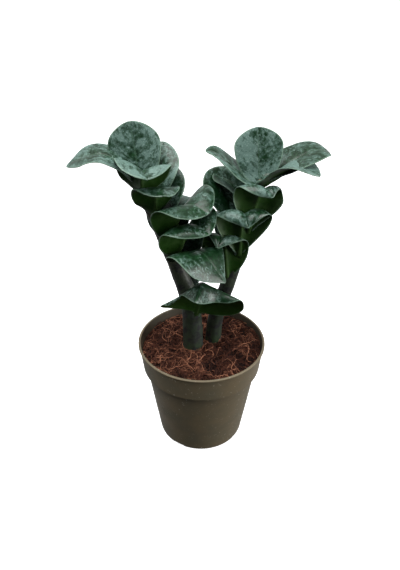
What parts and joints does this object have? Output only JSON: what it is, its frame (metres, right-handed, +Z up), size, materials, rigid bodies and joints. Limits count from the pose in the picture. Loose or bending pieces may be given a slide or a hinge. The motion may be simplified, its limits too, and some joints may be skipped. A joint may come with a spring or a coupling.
{
  "type": "potted aroid house plant",
  "caption": "Compact aroid house plant in a tapered nursery pot: fat upright stems lean apart and carry thick, recurved, folded leaflets above a bed of coir.",
  "frame": {"origin": "middle of the pot's flat underside, on the surface that it stands on", "axes": "+Z up the pot and along the plant, -Y towards the viewer of the picture, +X to that viewer's right"},
  "size_m": [0.2106, 0.12, 0.3068],
  "materials": {
    "pot_plastic": "matte",
    "coir": "matte",
    "foliage": "satin"
  },
  "bodies": {
    "root": {"pot": "pot_plastic", "coir": "coir", "frond_left": "foliage", "frond_right": "foliage"}
  },
  "joints": []
}
